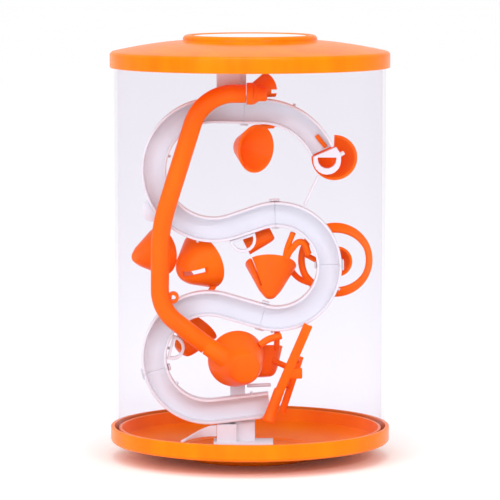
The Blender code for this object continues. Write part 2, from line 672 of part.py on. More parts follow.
def make_funnel(orange):
    """The big cup at the pipe's foot: wide and open at the back, blunt towards the viewer."""
    tip, mouth = (-2.9, -25.5, 56.6), (-8.4, -2.5, 60.0)
    funnel = cup("funnel_cup", tip, mouth, 8.9, 17.6, orange, 28)
    x, z = PIPE_CORNERS[-1]
    slope = (Vector(PIPE_CORNERS[-1]) - Vector(PIPE_CORNERS[-2])).normalized()
    start = (x + slope.x * GAP, PIPE_Y, z + slope.y * GAP)
    neck_end = (start[0] + slope.x * 4, PIPE_Y, start[2] + slope.y * 4)
    join(funnel, rod("funnel_neck", start, neck_end, PIPE_RADIUS, sides=24))
    flare_start = (start[0] + slope.x * 2, PIPE_Y, start[2] + slope.y * 2)
    join(funnel, cone("funnel_flare", flare_start, (-6.5, -18.0, 57.5), PIPE_RADIUS - 0.1, 8.7, sides=24))
    bore_start = (x - slope.x * 3, PIPE_Y, z - slope.y * 3)
    cut(funnel, cone("funnel_bore", bore_start, (-9.5, -14.5, 58.0), PIPE_RADIUS - PIPE_WALL, 6.4))
    nozzle = [(5.6, -7.5, 68.6), (11.0, -6.0, 72.0), (18.6, -3.5, 73.9)]
    join(funnel, wire("funnel_bracket", nozzle, 2.1, None, helper=True))


def make_chute(orange):
    """The two-rail chute in front of the channel's lower end, with a sleeve at its foot."""
    front, back = -10.7, 7.0
    top, knee, foot = (35.0, front, 81.6), (17.4, front, 40.6), (10.8, front, 23.2)
    chute = rod("chute", top, knee, 2.8, orange, False, 12)
    join(chute, cone("chute_sleeve", (17.8, front, 42.4), foot, 3.6, 4.0))
    cut(chute, cone("chute_sleeve_bore", (14.4, front, 33.0), (9.6, front, 20.0), 2.4, 2.9))
    join(chute, rod("chute_rail", (30.5, back, 60.0), (19.4, back, 26.0), 2.2))
    for i, (x, z) in enumerate(((27.8, 58.0), (21.6, 42.5))):
        join(chute, rod(f"chute_rung_{i}", (x - 0.4, front, z + 6), (x + 1.4, back, z - 1), 1.5))
    join(chute, box("chute_peg", (23.6, front - 2.0, 49.0), (31.4, front + 3.2, 55.2), helper=True))


def make_ball(steel):
    bpy.ops.mesh.primitive_uv_sphere_add(segments=20, ring_count=12, radius=mm(BALL_RADIUS))
    ball = bpy.context.object
    ball.name = "steel_ball"
    ball.location = mm((-9.0, 36.5, 8.65))
    place(ball, steel)


def cone(name, start, end, start_radius, end_radius, material=None, helper=True, sides=16):
    """A solid tapered rod between two points."""
    length = (mm(end) - mm(start)).length
    bpy.ops.mesh.primitive_cone_add(
        vertices=sides, radius1=mm(start_radius), radius2=mm(end_radius), depth=length
    )
    obj = bpy.context.object
    obj.name = name
    obj.data.transform(Matrix.Translation((0, 0, length / 2)))
    return aim(place(obj, material, helper), start, end)


# ---- Build ------------------------------------------------------------------------------------
clear_scene()
ORANGE_FINISH = finish("orange_plastic", ORANGE, 0.32)
WHITE_FINISH = finish("white_plastic", WHITE, 0.38)
CLEAR_FINISH = finish("clear_plastic", CLEAR, 0.05, alpha=0.25)
STEEL_FINISH = finish("steel", STEEL, 0.15, 1.0)
make_caps(ORANGE_FINISH, WHITE_FINISH)
make_tube(CLEAR_FINISH)
make_posts(WHITE_FINISH)
make_base_fin(WHITE_FINISH)
PATH = make_channel(WHITE_FINISH)
make_gates(WHITE_FINISH, ORANGE_FINISH, PATH)
make_cups(ORANGE_FINISH)
make_loop(ORANGE_FINISH)
make_pipe(ORANGE_FINISH)
make_intake(ORANGE_FINISH)
make_funnel(ORANGE_FINISH)
make_chute(ORANGE_FINISH)
make_ball(STEEL_FINISH)
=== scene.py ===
"""A ball maze in a clear cylinder, laid out as an add-on: one operator for each group of pieces.

Lengths are in millimetres in the tables and become metres in mm(). +Z is up, +X is to the right and the
viewer looks along +Y. The origin is the centre of the foot ring's face.
"""

from math import acos, atan2, cos, degrees, hypot, pi, radians, sin, tan

import bmesh
import bpy
from mathutils import Matrix, Vector


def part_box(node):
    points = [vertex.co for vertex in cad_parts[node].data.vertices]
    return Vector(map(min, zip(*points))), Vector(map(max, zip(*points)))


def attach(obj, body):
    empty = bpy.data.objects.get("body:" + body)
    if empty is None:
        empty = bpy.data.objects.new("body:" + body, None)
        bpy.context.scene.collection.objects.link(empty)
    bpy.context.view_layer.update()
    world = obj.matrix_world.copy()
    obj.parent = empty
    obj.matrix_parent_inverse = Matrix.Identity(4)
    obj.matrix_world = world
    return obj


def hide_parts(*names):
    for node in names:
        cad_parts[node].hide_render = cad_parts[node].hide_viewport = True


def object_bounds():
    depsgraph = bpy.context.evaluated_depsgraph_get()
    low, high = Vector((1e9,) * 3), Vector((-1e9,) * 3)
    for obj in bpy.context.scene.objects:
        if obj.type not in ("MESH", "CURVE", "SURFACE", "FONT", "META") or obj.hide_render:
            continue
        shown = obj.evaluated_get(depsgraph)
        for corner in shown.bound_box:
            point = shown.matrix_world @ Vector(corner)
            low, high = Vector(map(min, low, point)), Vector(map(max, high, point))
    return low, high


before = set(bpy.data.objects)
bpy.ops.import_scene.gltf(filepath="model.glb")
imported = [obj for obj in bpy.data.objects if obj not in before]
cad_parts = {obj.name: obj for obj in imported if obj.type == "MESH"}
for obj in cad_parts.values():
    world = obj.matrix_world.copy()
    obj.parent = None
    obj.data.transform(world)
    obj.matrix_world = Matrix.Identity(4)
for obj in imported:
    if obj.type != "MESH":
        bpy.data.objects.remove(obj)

bl_info = {
    "name": "Clear Cylinder Ball Maze",
    "version": (1, 0, 0),
    "blender": (4, 5, 0),
    "location": "View3D > Sidebar > Ball Maze",
    "description": "Builds a ball maze in a clear cylinder between two moulded caps",
    "category": "Add Mesh",
}

CAD_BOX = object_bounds()
CAP_LOW, CAP_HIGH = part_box("top_cap")
TUBE_LOW, TUBE_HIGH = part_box("clear_cylinder")
GAP = 0.3


def mm(value):
    """Millimetres, or several of them, as metres."""
    if isinstance(value, (int, float)):
        return value / 1000
    return Vector([part / 1000 for part in value])


# ---- Settings ----------------------------------------------------------------------------------
def length(name, description, default):
    return bpy.props.FloatProperty(
        name=name, description=description, default=default, min=0, unit="LENGTH", precision=4
    )


def colour(name, description, default):
    return bpy.props.FloatVectorProperty(
        name=name, description=description, default=default, size=3, min=0, max=1, subtype="COLOR"
    )


class MazeSizes(bpy.types.PropertyGroup):
    cap_radius: length("Cap Radius", "Outside radius of the two caps", CAP_HIGH.x)
    cap_height: length("Cap Height", "Height of one cap with its ring", CAP_HIGH.z - CAP_LOW.z)
    height: length("Height", "Height of the whole maze", CAD_BOX[1].z)
    tube_radius: length("Cylinder Radius", "Outside radius of the clear cylinder", TUBE_HIGH.x)
    tube_wall: length("Cylinder Wall", "Wall thickness of the clear cylinder", 0.002)
    channel_half: length("Channel Half Width", "Half the outside width of the channel", 0.0075)
    pipe_radius: length("Pipe Radius", "Outside radius of the bent pipe", 0.0055)
    cup_wall: length("Cup Wall", "Wall thickness of the cone cups", 0.0015)
    edge: length("Edge Radius", "Rounding of the moulded edges", 0.0004)
    steps: bpy.props.IntProperty(
        name="Round Steps", description="Faces round a turned cap", default=160, min=24, max=256
    )


class MazeFinishes(bpy.types.PropertyGroup):
    cap: colour("Cap", "Orange of the caps", (0.99, 0.2, 0.0))
    # Inner Parts is the caps' orange made redder: painted shade standing in for the orange light bounced
    # between the parts inside the cylinder
    inner: colour("Inner Parts", "Orange of the parts in the cylinder", (1.0, 0.15, 0.0))
    track: colour("Track", "White of the channel and posts", (0.77, 0.785, 0.825))
    clear: colour("Cylinder", "Tint of the clear cylinder", (0.962, 0.955, 0.976))
    steel: colour("Ball", "Colour of the steel ball and screws", (0.62, 0.62, 0.64))
    gloss: bpy.props.FloatProperty(
        name="Roughness", description="Roughness of the orange mouldings", default=0.24, min=0, max=1,
        subtype="FACTOR",
    )


def sizes():
    return bpy.context.scene.maze_sizes


def finishes():
    return bpy.context.scene.maze_finishes


# ---- Shader maths ------------------------------------------------------------------------------
class Value:
    """A number socket whose sums add Math nodes."""

    def __init__(self, shader, socket):
        self.shader, self.socket = shader, socket

    def math(self, operation, first, second=None):
        inputs = [first] if second is None else [first, second]
        return self.shader.node("ShaderNodeMath", {"operation": operation}, dict(enumerate(inputs)))

    def __add__(self, other):
        return self.math("ADD", self, other)

    def __radd__(self, other):
        return self.math("ADD", other, self)

    def __sub__(self, other):
        return self.math("SUBTRACT", self, other)

    def __rsub__(self, other):
        return self.math("SUBTRACT", other, self)

    def __mul__(self, other):
        return self.math("MULTIPLY", self, other)

    def __rmul__(self, other):
        return self.math("MULTIPLY", other, self)

    def __pow__(self, other):
        return self.math("POWER", self, other)


class Shader:
    """One material and its nodes."""

    def __init__(self, name):
        self.material = bpy.data.materials.new(name)
        self.material.use_nodes = True
        self.nodes, self.links = self.material.node_tree.nodes, self.material.node_tree.links
        self.surface = self.nodes["Principled BSDF"]
        self.output = self.nodes["Material Output"]

    def put(self, socket, value):
        if isinstance(value, Value):
            self.links.new(value.socket, socket)
        elif hasattr(value, "__len__") and len(value) == 3 and socket.type == "RGBA":
            socket.default_value = (*value, 1)
        else:
            socket.default_value = value

    def node(self, kind, settings=None, inputs=None, output=0):
        made = self.nodes.new(kind)
        for name, value in (settings or {}).items():
            if name == "ramp":
                stops = made.color_ramp.elements
                while len(stops) < len(value):
                    stops.new(0.5)
                for stop, (place, tint) in zip(stops, value):
                    stop.position, stop.color = place, (*tint, 1)
            else:
                setattr(made, name, value)
        for name, value in (inputs or {}).items():
            self.put(made.inputs[name], value)
        return Value(self, made.outputs[output])

    def set(self, **inputs):
        for name, value in inputs.items():
            self.put(self.surface.inputs[name.replace("_", " ")], value)
        return self.material

    def place(self, scale=(1, 1, 1), turn=(0, 0, 0)):
        """Object coordinates, scaled and turned."""
        here = self.node("ShaderNodeTexCoord", output="Object")
        return self.node("ShaderNodeMapping", {}, {"Vector": here, "Scale": scale, "Rotation": turn})

    def noise(self, vector, scale, detail=3, roughness=0.5):
        inputs = {"Vector": vector, "Scale": scale, "Detail": detail, "Roughness": roughness}
        return self.node("ShaderNodeTexNoise", {}, inputs, "Fac")

    def mix(self, share, first, second, blend="MIX"):
        inputs = {0: share, 6: first, 7: second}
        return self.node("ShaderNodeMix", {"data_type": "RGBA", "blend_type": blend}, inputs, 2)

    def ramp(self, share, stops):
        return self.node("ShaderNodeValToRGB", {"ramp": stops}, {"Fac": share})

    def bump(self, height, strength, distance):
        inputs = {"Height": height, "Strength": strength, "Distance": distance}
        return self.node("ShaderNodeBump", {}, inputs)


def shade(tint, amount):
    """A tint made darker, or lighter above 1."""
    return tuple(min(1, part * amount) for part in tint)


def moulded_orange(name, tint, rough, flow_turn=(0, 0, 0)):
    """Glossy moulded plastic: faint flow marks, an even skin and slightly worn, paler patches."""
    s = Shader(name)
    flow = s.noise(s.place((1, 1, 0.25), flow_turn), 55, 4, 0.55)
    cloud = s.noise(s.place(), 18, 2)
    deep = (tint[0] * 0.965, tint[1] * 0.82, tint[2])
    bright = (min(1, tint[0] * 1.01), tint[1] * 1.12, tint[2])
    base = s.mix(s.ramp(flow, ((0.35, (0, 0, 0)), (0.68, (1, 1, 1)))), deep, bright)
    base = s.mix(cloud * 0.35, base, shade(tint, 1.0))
    skin = s.noise(s.place(), 900, 2, 0.6)
    scuff = s.noise(s.place((1, 1, 5), (0.4, 0.2, 0.7)), 260, 5, 0.7)
    roughness = (flow - 0.5) * 0.07 + (scuff - 0.5) * 0.09 + rough
    height = skin * 0.6 + cloud * 0.4
    s.set(IOR=1.4, Coat_Roughness=0.06, Coat_Weight=0.0, Specular_IOR_Level=0.14)
    return s.set(Base_Color=base, Roughness=roughness, Normal=s.bump(height, 0.16, 0.00012))


def moulded_white(name, tint, rough):
    """Satin white plastic with cloudy wall thickness and a finely drawn skin."""
    s = Shader(name)
    cloud = s.noise(s.place(), 34, 3)
    fine = s.noise(s.place((1, 0.4, 1)), 240, 4, 0.6)
    base = s.mix(s.ramp(cloud, ((0.34, (0, 0, 0)), (0.66, (1, 1, 1)))), shade(tint, 0.965), shade(tint, 1.02))
    roughness = (fine - 0.5) * 0.12 + rough
    s.set(IOR=1.46, Subsurface_Weight=0.0, Specular_IOR_Level=0.45)
    return s.set(Base_Color=base, Roughness=roughness, Normal=s.bump(fine + cloud, 0.1, 0.0001))


def clear_wall(name, tint):
    """Clear moulded wall: see-through head on, brighter and a little hazier towards its edges."""
    s = Shader(name)
    drawn = s.noise(s.place((1, 1, 0.05)), 26, 3, 0.5)
    rim = s.node("ShaderNodeLayerWeight", {}, {"Blend": 0.22}, "Facing")
    share = rim ** 3.0 * 0.42 + drawn * 0.006
    s.set(Base_Color=(0.8, 0.78, 0.9), Roughness=0.05, IOR=1.49)
    passed = s.mix(drawn, shade(tint, 0.992), shade(tint, 1.006))
    seen = s.node("ShaderNodeBsdfTransparent", {}, {"Color": passed})
    solid = Value(s, s.surface.outputs[0])
    mixed = s.node("ShaderNodeMixShader", {}, {0: share, 1: seen, 2: solid})
    s.links.new(mixed.socket, s.output.inputs["Surface"])
    return s.material


def ground_steel(name, tint, rough):
    """Polished steel with fine scratches in every direction."""
    s = Shader(name)
    scratch = s.noise(s.place((1, 9, 1), (0.5, 0.3, 0.8)), 700, 5, 0.7)
    cloud = s.noise(s.place(), 160, 2)
    base = s.mix(cloud, shade(tint, 0.93), shade(tint, 1.05))
    s.set(Metallic=1.0, Roughness=(scratch - 0.5) * 0.1 + cloud * 0.05 + rough)
    return s.set(Base_Color=base, Normal=s.bump(scratch, 0.05, 0.00005))


def floor_paint(name):
    s = Shader(name)
    cloud = s.noise(s.place(), 2, 2)
    base = s.mix(cloud, (0.975, 0.975, 0.975), (0.985, 0.985, 0.985))
    return s.set(Base_Color=base, Roughness=0.6, Specular_IOR_Level=0.1)


def material(name):
    """The finish of that name, made the first time it is asked for."""
    if name in bpy.data.materials:
        return bpy.data.materials[name]
    f = finishes()
    makers = {
        "cap orange": lambda: moulded_orange(name, f.cap, f.gloss),
        # The inner parts' redder orange is painted shade for the light bounced between the orange parts
        "inner orange with painted shade": lambda: moulded_orange(name, f.inner, f.gloss + 0.06, (0.6, 0.2, 0.9)),
        "track white": lambda: moulded_white(name, f.track, 0.36),
        "disc white": lambda: moulded_white(name, shade(f.track, 1.02), 0.3),
        "clear wall": lambda: clear_wall(name, f.clear),
        "ball steel": lambda: ground_steel(name, f.steel, 0.1),
        "screw steel": lambda: ground_steel(name, shade(f.steel, 0.8), 0.3),
        "floor": lambda: floor_paint(name),
    }
    return makers[name]()


# ---- Modelling helpers -------------------------------------------------------------------------
def object_mode():
    if bpy.context.object and bpy.context.object.mode != "OBJECT":
        bpy.ops.object.mode_set(mode="OBJECT")


def only(obj):
    """Selects obj alone and makes it active."""
    object_mode()
    bpy.ops.object.select_all(action="DESELECT")
    obj.select_set(True)
    bpy.context.view_layer.objects.active = obj
    return obj


def drawn(name, points, closed=False):
    """A line of points, each extruded from the one before it, left in edit mode."""
    object_mode()
    bpy.ops.object.select_all(action="DESELECT")
    bpy.ops.mesh.primitive_plane_add(size=0.01)
    obj = bpy.context.object
    obj.name = name
    bpy.ops.object.mode_set(mode="EDIT")
    bpy.ops.mesh.select_mode(type="VERT")
    bpy.ops.mesh.select_all(action="SELECT")
    bpy.ops.mesh.merge(type="CENTER")
    bpy.ops.transform.translate(value=points[0])
    for before, after in zip(points, points[1:]):
        bpy.ops.mesh.extrude_region_move(TRANSFORM_OT_translate={"value": after - before})
    if closed:
        pick(obj, lambda co: min((co - points[0]).length, (co - points[-1]).length) < 1e-6)
        bpy.ops.mesh.edge_face_add()
    return obj


def pick(obj, test):
    """Selects the vertices of the mesh in edit mode that pass a test of their place."""
    bpy.ops.mesh.select_all(action="DESELECT")
    mesh = bmesh.from_edit_mesh(obj.data)
    for vertex in mesh.verts:
        vertex.select = test(vertex.co)
    mesh.select_flush_mode()
    bmesh.update_edit_mesh(obj.data)


def fillet(obj, points, radius, segments=4):
    """Rounds the corners of a drawn line that stand at the given points."""
    pick(obj, lambda co: any((co - point).length < 1e-6 for point in points))
    bpy.ops.mesh.bevel(offset=radius, segments=segments, affect="VERTICES", clamp_overlap=True)


def tidy(obj, fill=False):
    """Merges doubles, closes open ends, points the faces outwards and returns to object mode."""
    bpy.ops.mesh.select_all(action="SELECT")
    bpy.ops.mesh.remove_doubles(threshold=2e-6)
    if fill:
        bpy.ops.mesh.fill_holes(sides=0)
        bpy.ops.mesh.select_all(action="SELECT")
    bpy.ops.mesh.normals_make_consistent(inside=False)
    bpy.ops.object.mode_set(mode="OBJECT")
    return obj


def turned(name, profile, steps=64):
    """A profile of (radius, height, fillet) points in millimetres, spun once round Z."""
    points = [mm((r, 0, z)) for r, z, _ in profile]
    obj = drawn(name, points)
    for size in sorted({f for _, _, f in profile if f}):
        fillet(obj, [p for p, (_, _, f) in zip(points, profile) if f == size], mm(size))
    bpy.ops.mesh.select_all(action="SELECT")
    bpy.ops.mesh.spin(steps=steps, angle=2 * pi, center=(0, 0, 0), axis=(0, 0, 1))
    return tidy(obj)


def swept(name, section, legs):
    """A closed section in place at its start, carried along straight and round legs.

    A leg is ("run", vector) or ("bend", centre, axis, angle, steps).
    """
    obj = drawn(name, section, closed=True)
    bpy.ops.mesh.select_all(action="SELECT")
    for leg in legs:
        if leg[0] == "run":
            bpy.ops.mesh.extrude_region_move(TRANSFORM_OT_translate={"value": leg[1]})
        else:
            _, centre, axis, angle, steps = leg
            bpy.ops.mesh.spin(steps=steps, angle=angle, center=centre, axis=axis, use_auto_merge=False)
    return tidy(obj, fill=True)


def modify(obj, kind, **settings):
    """Adds a modifier and applies it."""
    only(obj)
    made = obj.modifiers.new(kind.lower(), kind)
    for name, value in settings.items():
        setattr(made, name, value)
    bpy.ops.object.modifier_apply(modifier=made.name)
    return obj


def soften(obj, width=None, segments=2, angle=38):
    """Rounds the sharp edges and shades the rest smooth."""
    modify(
        obj, "BEVEL", width=width or sizes().edge, segments=segments, limit_method="ANGLE",
        angle_limit=radians(angle), use_clamp_overlap=True, miter_outer="MITER_ARC", harden_normals=False,
    )
    only(obj)
    bpy.ops.object.shade_smooth_by_angle(angle=radians(44))
    return obj


def moved(obj, start, towards=None, turn=None):
    """Puts obj's origin at start with its +Z towards a point, and applies that to its mesh."""
    only(obj)
    obj.rotation_mode = "QUATERNION"
    if towards is not None:
        obj.rotation_quaternion = (mm(towards) - mm(start)).to_track_quat("Z", "Y")
    if turn is not None:
        obj.rotation_quaternion = turn
    obj.location = mm(start)
    bpy.ops.object.transform_apply(location=True, rotation=True, scale=True)
    return obj


def joined(obj, *others):
    only(obj)
    for other in others:
        other.select_set(True)
    bpy.ops.object.join()
    return obj


def copied(obj, name):
    only(obj)
    bpy.ops.object.duplicate()
    made = bpy.context.object
    made.name = name
    for key in list(made.keys()):
        del made[key]
    return made


def cutting(obj, cutter, operation="DIFFERENCE"):
    """A Boolean with a helper object, which is then removed."""
    modify(obj, "BOOLEAN", object=cutter, operation=operation, solver="EXACT")
    bpy.data.objects.remove(cutter)
    return obj


def block(name, low, high, round_by=0.0):
    """A box between two corners, its edges rounded when asked."""
    low, high = mm(low), mm(high)
    object_mode()
    bpy.ops.object.select_all(action="DESELECT")
    bpy.ops.mesh.primitive_cube_add(size=1, location=(low + high) / 2, scale=high - low)
    obj = bpy.context.object
    obj.name = name
    bpy.ops.object.transform_apply(location=True, rotation=True, scale=True)
    return soften(obj, mm(round_by), 3) if round_by else obj


def bar(name, points, radius, smooth=True, sides=5, cyclic=False):
    """A round bar through points, straight between them when not smooth, with softened ends."""
    object_mode()
    bpy.ops.object.select_all(action="DESELECT")
    bpy.ops.curve.primitive_bezier_curve_add()
    obj = bpy.context.object
    obj.name = name
    curve = obj.data
    spline = curve.splines[0]
    spline.bezier_points.add(len(points) - len(spline.bezier_points))
    for knot, point in zip(spline.bezier_points, points):
        knot.co = mm(point)
        knot.handle_left_type = knot.handle_right_type = "AUTO" if smooth else "VECTOR"
    spline.use_cyclic_u = cyclic
    curve.dimensions = "3D"
    curve.resolution_u = 10 if smooth else 1
    curve.bevel_depth = mm(radius)
    curve.bevel_resolution = sides
    curve.use_fill_caps = not cyclic
    bpy.ops.object.convert(target="MESH")
    bpy.ops.object.mode_set(mode="EDIT")
    tidy(obj)
    return soften(obj, mm(radius * 0.3), 3, 60)


def hold(obj, finish, *nodes, body="casing", slot=None):
    """Gives a finished piece its material and its body, and hides the CAD nodes it stands for."""
    obj.data.materials.clear()
    obj.data.materials.append(material(finish))
    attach(obj, body)
    if nodes:
        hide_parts(*nodes)
    return obj


# Pieces inside the cylinder default to the redder orange that carries painted shade
def orange(obj, *nodes, finish="inner orange with painted shade"):
    return hold(obj, finish, *nodes, slot="orange_plastic")


def white(obj, *nodes, finish="track white"):
    return hold(obj, finish, *nodes, slot="white_plastic")


def refined(node, name, width=0.4):
    """A copy of a CAD node with merged faces and rounded edges."""
    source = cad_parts[node]
    obj = copied(source, name)
    obj.parent = None
    obj.hide_render = obj.hide_viewport = False
    bpy.ops.object.mode_set(mode="EDIT")
    bpy.ops.mesh.select_all(action="SELECT")
    bpy.ops.mesh.customdata_custom_splitnormals_clear()
    bpy.ops.mesh.remove_doubles(threshold=5e-6)
    bpy.ops.mesh.dissolve_limited(angle_limit=radians(2))
    bpy.ops.object.mode_set(mode="OBJECT")
    return soften(obj, mm(width), 3)


# ---- Caps, discs and screws --------------------------------------------------------------------
BEAD_MIDDLE, BEAD_RADIUS, DOME_RISE = 37.6, 2.7, 6.2
RECESS, CAP_WALL, SHOULDER, RIM_HEIGHT = 3.9, 2.3, 1.3, 8.3
GROOVE_DEPTH, LIP_DROP, LIP_WIDTH, INNER_FLOOR = 7.6, 1.0, 1.8, 13.6
SCREWS_AT, SCREW_Y, SCREW_HOLE = (-13.0, -2.0), 2, 1.75


def cap_profile():
    """One cap's section from the middle of its recess, over the ring and dome, to its inside floor."""
    s = sizes()
    radius, crest = s.cap_radius * 1000, s.cap_height * 1000
    inner, outer = BEAD_MIDDLE - BEAD_RADIUS, BEAD_MIDDLE + BEAD_RADIUS
    edge, top, recess = radius - SHOULDER, crest - BEAD_RADIUS - 1.0, crest - RECESS

    def dome(r):
        return top - DOME_RISE * max(0.0, (r - outer) / (edge - outer)) ** 1.5

    outside = [(0, recess, 0), (inner, recess, 0.5), (inner, crest - BEAD_RADIUS, 0)]
    ring = [(BEAD_MIDDLE + BEAD_RADIUS * cos(a), crest - BEAD_RADIUS + BEAD_RADIUS * sin(a), 0)
            for a in (pi - pi * i / 14 for i in range(1, 14))]
    slopes = [(outer, dome(outer), 0.8)] + [(r, dome(r), 0) for r in range(43, 82, 3)]
    rim = [(edge, dome(edge), 0.5), (radius, RIM_HEIGHT, 0.6), (radius, 0.0, 0.5)]
    wall_out, wall_in = s.tube_radius * 1000 + GAP, (s.tube_radius - s.tube_wall) * 1000 - GAP
    groove = [(wall_out, 0.0, 0.3), (wall_out, GROOVE_DEPTH, 0)]
    groove += [(wall_in, GROOVE_DEPTH, 0), (wall_in, LIP_DROP, 0.4)]
    lip = wall_in - LIP_WIDTH
    inside = [(lip, LIP_DROP, 0.4), (lip, dome(lip) - CAP_WALL, 0.4)]
    inside += [(r, dome(r) - CAP_WALL, 0) for r in range(75, 42, -4)]
    race = [(outer + 0.7, dome(outer) - CAP_WALL, 0.6)]
    race += [(BEAD_MIDDLE + 2, 14.6, 0.3), (BEAD_MIDDLE, 15.2, 0.8)]
    race += [(BEAD_MIDDLE - 2, 14.6, 0.3), (inner - 0.7, INNER_FLOOR, 0.4), (0, INNER_FLOOR, 0)]
    return outside + ring + slopes + rim + groove + inside + race


class MAZE_OT_caps(bpy.types.Operator):
    """Turn the two caps, each with a raised ring, a recess and a groove for the cylinder"""

    bl_idname = "maze.caps"
    bl_label = "Caps"

    def execute(self, context):
        s = sizes()
        base = (s.height - s.cap_height) * 1000
        top = turned("cap_top", cap_profile(), s.steps)
        bottom = copied(top, "cap_bottom")
        # The lower cap is turned over about X below, so its holes are cut on the other side.
        for cap, y in ((top, SCREW_Y), (bottom, -SCREW_Y)):
            for x in SCREWS_AT:
                cutting(cap, bar("hole", [(x, y, 10), (x, y, 30)], SCREW_HOLE, False, 6))
            only(cap)
            bpy.ops.object.shade_smooth_by_angle(angle=radians(30))
        moved(top, (0, 0, base))
        only(bottom)
        bottom.rotation_euler = (pi, 0, 0)
        bottom.location = (0, 0, s.cap_height)
        bpy.ops.object.transform_apply(location=True, rotation=True, scale=True)
        orange(top, "top_cap", finish="cap orange")
        orange(bottom, "bottom_cap", finish="cap orange")
        return {"FINISHED"}


class MAZE_OT_discs(bpy.types.Operator):
    """Turn the pale disc in each ring's recess and the screws under it"""

    bl_idname = "maze.discs"
    bl_label = "Discs and Screws"

    def execute(self, context):
        s = sizes()
        profile = [(0, 3.0, 0), (20, 3.0, 0), (21, 2.7, 0.3), (31.5, 2.7, 0)]
        profile += [(32.4, 3.0, 0.3), (33.7, 3.0, 0.5)]
        profile += [(34.5, 2.3, 0.3), (34.5, 0, 0.2), (32.6, 0, 0.2), (32.6, 1.6, 0.2), (0, 1.6, 0)]
        disc = turned("disc_top", profile, 96)
        only(disc)
        bpy.ops.object.shade_smooth_by_angle(angle=radians(35))
        under = copied(disc, "disc_bottom")
        upper, lower = s.height * 1000 - RECESS + GAP, RECESS - GAP
        moved(disc, (0, 0, upper))
        flip = Matrix.Rotation(pi, 3, "X").to_quaternion()
        moved(under, (0, 0, lower), turn=flip)
        white(disc, "top_disc", finish="disc white")
        white(under, "bottom_disc", finish="disc white")
        head = [(0, 1.25, 0), (1.6, 1.2, 0.3), (2.45, 0.75, 0.3), (2.7, 0.0, 0.15), (1.45, 0, 0.1)]
        shank = [(1.45 - 0.22 * (i % 2), -0.5 - 0.35 * i, 0) for i in range(20)]
        first = turned("screw", head + shank + [(1.2, -8.0, 0), (0, -8.8, 0)], 24)
        cutting(first, block("slot_a", (-1.5, -0.3, 0.6), (1.5, 0.3, 2)))
        cutting(first, block("slot_b", (-0.3, -1.5, 0.6), (0.3, 1.5, 2)))
        only(first)
        bpy.ops.object.shade_smooth_by_angle(angle=radians(35))
        for i, x in enumerate(SCREWS_AT):
            for end, z, turn in (("top", upper, None), ("bottom", lower, flip)):
                screw = copied(first, f"screw_{end}_{i + 1}")
                moved(screw, (x, SCREW_Y, z), turn=turn)
                hold(screw, "screw steel", f"{end}_post_screw_{i + 1}", slot="steel")
        bpy.data.objects.remove(first)
        return {"FINISHED"}


class MAZE_OT_cylinder(bpy.types.Operator):
    """Draw up the clear cylinder between the caps"""

    bl_idname = "maze.cylinder"
    bl_label = "Clear Cylinder"

    def execute(self, context):
        s = sizes()
        low, high = TUBE_LOW.z * 1000, TUBE_HIGH.z * 1000
        outer, inner = s.tube_radius * 1000, (s.tube_radius - s.tube_wall) * 1000
        profile = [(outer, high, 0.3), (outer, low, 0.3), (inner, low, 0.3), (inner, high, 0.3)]
        obj = drawn("cylinder", [mm((r, 0, z)) for r, z, _ in profile], closed=True)
        fillet(obj, [mm((r, 0, z)) for r, z, _ in profile], mm(0.4), 3)
        bpy.ops.mesh.select_all(action="SELECT")
        bpy.ops.mesh.spin(steps=s.steps, angle=2 * pi, center=(0, 0, 0), axis=(0, 0, 1))
        tidy(obj)
        only(obj)
        bpy.ops.object.shade_smooth_by_angle(angle=radians(30))
        hold(obj, "clear wall", "clear_cylinder", slot="clear_plastic")
        return {"FINISHED"}


# ---- The channel -------------------------------------------------------------------------------
# Each bend: centre X, centre Z, radius of the channel's middle line, +1 for a left turn or -1 for right.
BENDS = (
    (6.3, 168.8, 40.4, 1),
    (-22.0, 173.9, 35.8, 1),
    (16.2, 115.8, 31.5, -1),
    (-25.0, 60.7, 32.9, 1),
)
CHANNEL_START, CHANNEL_END_SLOPE, CHANNEL_END_X = 24.0, 6.9, 11.8
CHANNEL_BACK, CHANNEL_FRONT, CHANNEL_WALL, CHANNEL_FLOOR = 3.6, -6.0, 1.5, 1.6
JOINTS_AT = ((-3.4, 209.0), (15.0, 147.0), (47.7, 116.2), (8.0, 87.0), (-57.0, 52.0))
SEAM, STRAP_HALF_LENGTH = 0.06, 2.5
TURN_AXIS = (0, 1, 0)
# Where small pegs stand on the channel's walls, and on which side.
LUGS = (
    ((-44.5, 206.0), 1), ((-57.5, 185.0), 1), ((-57.0, 160.0), 1), ((-12.0, 209.7), -1),
    ((23.0, 205.0), -1), ((44.0, 184.5), -1), ((46.5, 104.5), 1), ((-57.0, 68.0), 1), ((-50.0, 40.0), 1),
    ((14.0, 84.5), 1), ((-30.0, 138.0), -1), ((2.0, 30.0), 1),
)


def leaving_angle(first, second):
    """The angle, on the first bend, where the line to the second bend leaves it."""
    (x1, z1, r1, turn1), (x2, z2, r2, turn2) = first, second
    distance, bearing = hypot(x2 - x1, z2 - z1), atan2(z2 - z1, x2 - x1)
    reach = r1 - r2 if turn1 == turn2 else r1 + r2
    return degrees(bearing - turn1 * acos(reach / distance))


def on_circle(x, z, radius, angle):
    return Vector((x + radius * cos(radians(angle)), z + radius * sin(radians(angle))))


